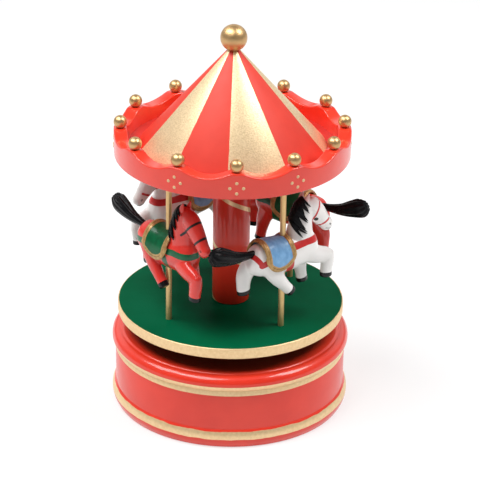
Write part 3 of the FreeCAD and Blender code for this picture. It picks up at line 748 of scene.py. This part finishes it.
def mane_form():
    """Pointed locks that hang from the crest over the outer side of the neck."""
    form = bmesh.new()
    ahead = 0.05
    for i in range(lock_count):
        share = mane_start + mane_span * i / (lock_count - 1)
        drop = lock_drop + lock_drop_spread * ((i * 7) % 5) / 4
        swing = crest_angle - (lock_end_angle + lock_end_spread * ((i * 3) % 4) / 3)
        loops = []
        for k in range(lock_rings):
            t = k / (lock_rings - 1)
            angle = crest_angle - swing * t
            lower = share - drop * t ** lock_curve
            lowest = share - drop * (t + ahead) ** lock_curve
            here = neck_point(lower, angle, lock_lift)
            near = neck_point(lowest, angle - swing * ahead, lock_lift)
            out = (neck_point(lower, angle, lock_lift + 1) - here).normalized()
            along = (near - here).normalized()
            size = lock_size * math.sqrt(max(1 - t, 0.0)) * min(1.0, 0.55 + 2 * t) + 0.06
            axes = (along.cross(out) * size, out * (0.25 + 0.5 * size), along)
            loops.append(oval_loop(form, 10, here, axes))
        close_over(form, loops)
    return form


def tail_form():
    return loft(bmesh.new(), tail_stations, rings=34, count=60, ripple=0.11, ribs=10)


def body_oval(forward):
    """Height of the middle, half depth and half width of the body at a forward place."""
    low, high = 0.0, 1.0
    halvings = 24
    for _ in range(halvings):
        middle = (low + high) / 2
        if between(body_stations, middle)[0] < forward:
            low = middle
        else:
            high = middle
    values = between(body_stations, low)
    return values[1], values[3], values[4]


def saddle_form(front):
    """A blanket over the back with a raised border, and a roll at each end of the seat."""
    form = bmesh.new()
    bmesh.ops.create_grid(form, x_segments=44, y_segments=72, size=1.0)
    marks = {}
    for vert in form.verts:
        u, v = vert.co.x, vert.co.y
        forward = front - saddle_length * (1 - u) / 2
        middle, depth, width = body_oval(forward)
        low = saddle_low + saddle_corner * (1 - math.sqrt(max(1 - u * u, 0.0)))
        reach = math.acos(max(min((low - middle) / depth, 1.0), -1.0))
        edge = min((1 - abs(u)) * saddle_length / 2, (1 - abs(v)) * reach * (depth + width) / 2)
        seat = max(0.0, 1 - (abs(v) * reach / seat_reach) ** 2)
        roll = math.exp(-((abs(u) - roll_place) / roll_width) ** 2) * seat * roll_rise
        border = border_rise if border_edges[0] < edge < border_edges[1] else 0.0
        groove = -groove_cut if groove_edges[0] < edge < groove_edges[1] else 0.0
        lift = saddle_lift + border + groove + roll
        turn = v * reach
        out, rise = (width + lift) * math.sin(turn), (depth + lift) * math.cos(turn)
        vert.co = Vector((forward, -out, middle + rise))
        marks[vert.index] = (edge, abs(v) * reach * depth, forward)
    layer = form.verts.layers.float_vector.new("marks")
    for vert in form.verts:
        vert[layer] = marks[vert.index]
    bmesh.ops.recalc_face_normals(form, faces=form.faces)
    bmesh.ops.solidify(form, geom=form.faces[:], thickness=saddle_thickness)
    return form


# Paint on the horses, in the horse's own frame
def stroke(paint, points, half):
    """A painted line through (forward, height) points."""
    parts = []
    for (ax, az), (bx, bz) in zip(points, points[1:]):
        dx, dz = bx - ax, bz - az
        share = ((paint.x - ax) * dx + (paint.z - az) * dz) / (dx * dx + dz * dz)
        share = share.maths("MAXIMUM", 0.0).maths("MINIMUM", 1.0)
        off_x = paint.x - ax - share * dx
        off_z = paint.z - az - share * dz
        distance = (off_x * off_x + off_z * off_z).maths("SQRT")
        parts.append(1.0 - distance.above(half, stroke_blur))
    return parts[0].either(*parts[1:])


def hoof_mask(paint):
    parts = []
    for stations in leg_stations:
        end, before = Vector(stations[-1][:3]), Vector(stations[-2][:3])
        along = (end - before).normalized()
        past = (paint.x - end.x) * along.x + (paint.z - end.y) * along.y
        off = (paint.x - end.x) * (paint.x - end.x) + (paint.z - end.y) * (paint.z - end.y)
        side = (paint.y + end.z).maths("ABSOLUTE")
        part = past.above(-hoof_height, 0.1) * (1.0 - off.maths("SQRT").above(hoof_reach, 0.1))
        parts.append(part * (1.0 - side.above(hoof_half_width, 0.1)))
    return parts[0].either(*parts[1:])


def across_head(along, depth):
    middle = Vector(head_stations[0][:2]) + head_along * along
    return [tuple(middle - head_deep * depth), tuple(middle + head_deep * depth)]


def horse_paint(name, coat_tones, ear_tones, strap_tones, bridle_tones, saddle_front, bridle, breast):
    """Enamel with painted straps, bridle, eyes and hooves, and painted shade for the nostrils and mouth.
    """
    paint = Paint(name, "carving")
    coat = paint.coat(*coat_tones, 9.0, 0.30, gloss=0.6)
    ears = paint.coat(*ear_tones, 2.0, 0.4, gloss=0.2)
    coat = paint.over(coat, ears, paint.z.above(ear_line, 0.7) * 0.7)
    strap = paint.coat(*strap_tones, 4.0, 0.36, gloss=0.3)
    line = paint.coat(*bridle_tones, 3.0, 0.36, gloss=0.3)
    back = saddle_front - saddle_length
    belt = stroke(paint, [(saddle_front - 0.5, breast), (9.4, breast + 0.6), (17.6, breast + 0.2)], 1.3)
    hip = stroke(paint, [(back + 0.6, 19.0), (-14.6, 18.2)], 1.35)
    rump = stroke(paint, [(-14.6, 18.2), (-17.8, 23.6)], 1.0)
    girth = stroke(paint, [(saddle_front - 1.8, 16.5), (saddle_front - 0.6, 8.4)], 1.8)
    coat = paint.over(coat, strap, belt.either(hip, rump, girth * paint.z.above(girth_low, 0.1)))
    first, *others = [stroke(paint, points, 0.5) for points in bridle]
    coat = paint.over(coat, line, first.either(*others) * paint.z.above(bridle_low, 0.1))
    eye = stroke(paint, [(15.5, 29.8), (16.1, 29.4)], 0.72)
    # Painted shade: dark nostril and mouth marks stand in for carved hollows
    nostril_shade = stroke(paint, [(23.5, 25.4), (23.9, 25.1)], 0.4)
    mouth_shade = stroke(paint, [(25.2, 22.8), (21.8, 23.7)], 0.18)
    # Hooves and eyes in black paint, with the painted shade of nostril and mouth at 0.7
    dark = hoof_mask(paint).either(eye, nostril_shade.either(mouth_shade) * 0.7)
    coat = paint.over(coat, black_coat(paint), dark)
    return paint.done(coat, brush_relief(paint), 0.05)


def hair_paint():
    paint = Paint("hair_paint", "carving")
    strands = paint.noise(0.7, 2.0, (0.25, 1.0, 1.0))
    return paint.done(black_coat(paint), strands, 0.12, index=1.22)


def saddle_paint(name, tones):
    paint = Paint(name, "marks")
    field = paint.coat(*tones, 2.6, 0.3, gloss=0.2)
    gold = paint.coat((0.36, 0.20, 0.07), (0.56, 0.36, 0.15), 1.5, 0.4, metallic=0.35, gloss=0.1)
    # Dark brown for the painted shade in the carved groove of the gold border
    dark = paint.coat((0.16, 0.08, 0.03), (0.24, 0.13, 0.05), 1.5, 0.5, metallic=0.2)
    wobble = (paint.noise(2.0, 2.0) - 0.5) * 0.35
    edge = paint.x + wobble
    coat = paint.over(gold, field, edge.above(border_paint, 0.1))
    # Painted shade: a dark line along the groove cut in the gold border
    coat = paint.over(coat, dark, edge.within(*groove_shade_band, 0.1))
    return paint.done(coat, paint.noise(0.8, 2.0), 0.05, index=1.24)


white_tones = ((0.82, 0.80, 0.77), (0.90, 0.88, 0.86))
pink_tones = ((0.70, 0.30, 0.28), (0.80, 0.46, 0.42))
red_tones = ((0.66, 0.030, 0.022), (0.78, 0.046, 0.032))
strap_red = ((0.50, 0.02, 0.02), (0.60, 0.03, 0.028))
strap_green = ((0.002, 0.085, 0.03), (0.008, 0.14, 0.054))
blue_tones = ((0.13, 0.31, 0.56), (0.24, 0.46, 0.72))
green_tones = ((0.0005, 0.078, 0.026), (0.002, 0.125, 0.044))
black_tones = ((0.01, 0.008, 0.008), (0.02, 0.016, 0.016))
white_bridle = [[(18.4, 37.8), (15.8, 33.3), (13.8, 29.0), (17.6, 25.4), (22.9, 27.9)]]
red_bridle = [across_head(7.6, 5.2), across_head(14.2, 4.4), [(14.4, 31.2), (17.6, 25.2)]]
saddle_fronts = {"red": 6.0, "white": 1.4}
coats = {
    "red": horse_paint("red_horse_paint", red_tones, red_tones, strap_green, black_tones,
                       saddle_fronts["red"], red_bridle, breast=19.6),
    "white": horse_paint("white_horse_paint", white_tones, pink_tones, strap_red, strap_red,
                         saddle_fronts["white"], white_bridle, breast=21.7),
}
saddle_coats = {"red": saddle_paint("green_saddle_paint", green_tones),
                "white": saddle_paint("blue_saddle_paint", blue_tones)}
hair = hair_paint()


def carving_marks(form):
    """Keep each vertex's place in the horse's own frame for the paint to read."""
    layer = form.verts.layers.float_vector.new("carving")
    for vert in form.verts:
        vert[layer] = vert.co
    return form


def on_pole(form, number):
    """A copy of the form, set on its pole."""
    copy = form.copy()
    azimuth, yaw = horse_azimuths[number - 1], horse_yaws[number - 1]
    round_axis = Matrix.Rotation(math.radians(azimuth), 4, "Z")
    round_pole = Matrix.Rotation(math.radians(yaw), 4, "Z")
    place = round_axis @ Matrix.Translation((0, -pole_circle, horse_floor)) @ round_pole
    bmesh.ops.transform(copy, matrix=place, verts=copy.verts)
    return copy


horse = carving_marks(horse_form())
mane = carving_marks(mane_form())
tail = carving_marks(tail_form())
saddles = {colour: saddle_form(front) for colour, front in saddle_fronts.items()}
for number, colour in enumerate(("red", "white", "red", "white"), 1):
    finished(f"carved_horse_{number}", on_pole(horse, number), [coats[colour]], "carousel",
             [f"horse_{number}"], sharp=70.0)
    finished(f"horse_mane_{number}", on_pole(mane, number), [hair], "carousel", [f"mane_{number}"],
             sharp=60.0)
    finished(f"horse_tail_{number}", on_pole(tail, number), [hair], "carousel", [f"tail_{number}"],
             sharp=60.0)
    finished(f"horse_saddle_{number}", on_pole(saddles[colour], number), [saddle_coats[colour]],
             "carousel", [f"saddle_{number}"], sharp=60.0)
for form in (horse, mane, tail, *saddles.values()):
    form.free()

# Floor, which keeps the shadow and is white where the lamps reach it
floor_glow = 0.60
floor_half_size = 6.0
floor_paint = Paint("floor")
floor_output = floor_paint.tree.nodes["Material Output"]
pale = floor_paint.place.node("ShaderNodeBsdfDiffuse", {"Color": (0.9, 0.9, 0.9, 1)})
glow = floor_paint.place.node("ShaderNodeEmission", {"Color": (1, 1, 1, 1), "Strength": 1.0})
feed(floor_paint.tree, floor_output.inputs["Surface"],
     floor_paint.place.node("ShaderNodeMixShader", {0: floor_glow, 1: pale, 2: glow}))
floor_form = bmesh.new()
bmesh.ops.create_grid(floor_form, x_segments=8, y_segments=8, size=floor_half_size)
floor_mesh = bpy.data.meshes.new("floor")
floor_form.to_mesh(floor_mesh)
floor_form.free()
floor_mesh.materials.append(floor_paint.material)
floor = bpy.data.objects.new("floor", floor_mesh)
bpy.context.scene.collection.objects.link(floor)

# Surroundings: white to the camera, dim to the object, with a soft light high behind it
wall_light = 0.16
rear_light = 0.8
room_light = 0.06
world = bpy.data.worlds.new("studio")
world.use_nodes = True
bpy.context.scene.world = world
world_background = world.node_tree.nodes["Background"]
world_background.inputs["Color"].default_value = (1, 1, 1, 1)
world_path = world.node_tree.nodes.new("ShaderNodeLightPath")
world_seen = Socket(world.node_tree, world_path.outputs["Is Camera Ray"])
world_coordinates = world.node_tree.nodes.new("ShaderNodeTexCoord")
world_place = Socket(world.node_tree, world_coordinates.outputs["Generated"])
towards_back = world_place.node("ShaderNodeSeparateXYZ", {0: world_place}, 1)
upward = world_place.node("ShaderNodeSeparateXYZ", {0: world_place}, 2)
walls = (1.0 - upward.above(0.6, 0.25)) * (towards_back.above(-0.4, 0.4) * 0.6 + 0.4)
back_light = upward.within(0.22, 0.62, 0.12) * towards_back.above(0.45, 0.25)
studio = walls * wall_light + back_light * rear_light + room_light
feed(world.node_tree, world_background.inputs["Strength"], studio + world_seen * (1.0 - studio))


# Lamps: places in metres, power in watts
lamp_size = 0.5
lamp_aim = Vector((0, 0, 0.08))


def lamp(name, place, power):
    data = bpy.data.lights.new(name, "AREA")
    data.shape = "RECTANGLE"
    data.size = data.size_y = lamp_size
    data.energy = power
    thing = bpy.data.objects.new(name, data)
    thing.location = place
    thing.rotation_euler = (lamp_aim - Vector(place)).to_track_quat("-Z", "Y").to_euler()
    bpy.context.scene.collection.objects.link(thing)


lamp("key", (-0.32, -0.30, 1.06), 7.2)
lamp("left", (-0.66, 0.05, 0.98), 6.8)
lamp("right", (0.66, -0.05, 0.98), 9.2)

# Camera, fitted to the photo
aim = Vector((3.656, 0.0, 71.538)) * MM
distance = 955.56 * MM
elevation = math.radians(25.185)
azimuth = math.radians(-0.2425)
roll = math.radians(0.835)
camera_data = bpy.data.cameras.new("camera")
camera_data.lens = 170.925
camera_data.sensor_width = 36.0
camera = bpy.data.objects.new("camera", camera_data)
level = math.cos(elevation)
camera_away = Vector((math.sin(azimuth) * level, -math.cos(azimuth) * level, math.sin(elevation)))
camera_offset = camera_away * distance
turn = (-camera_offset).to_track_quat("-Z", "Y").to_matrix().to_4x4() @ Matrix.Rotation(roll, 4, "Z")
camera.matrix_world = Matrix.Translation(aim + camera_offset) @ turn
bpy.context.scene.collection.objects.link(camera)
bpy.context.scene.camera = camera
bpy.context.scene.view_settings.view_transform = "Standard"
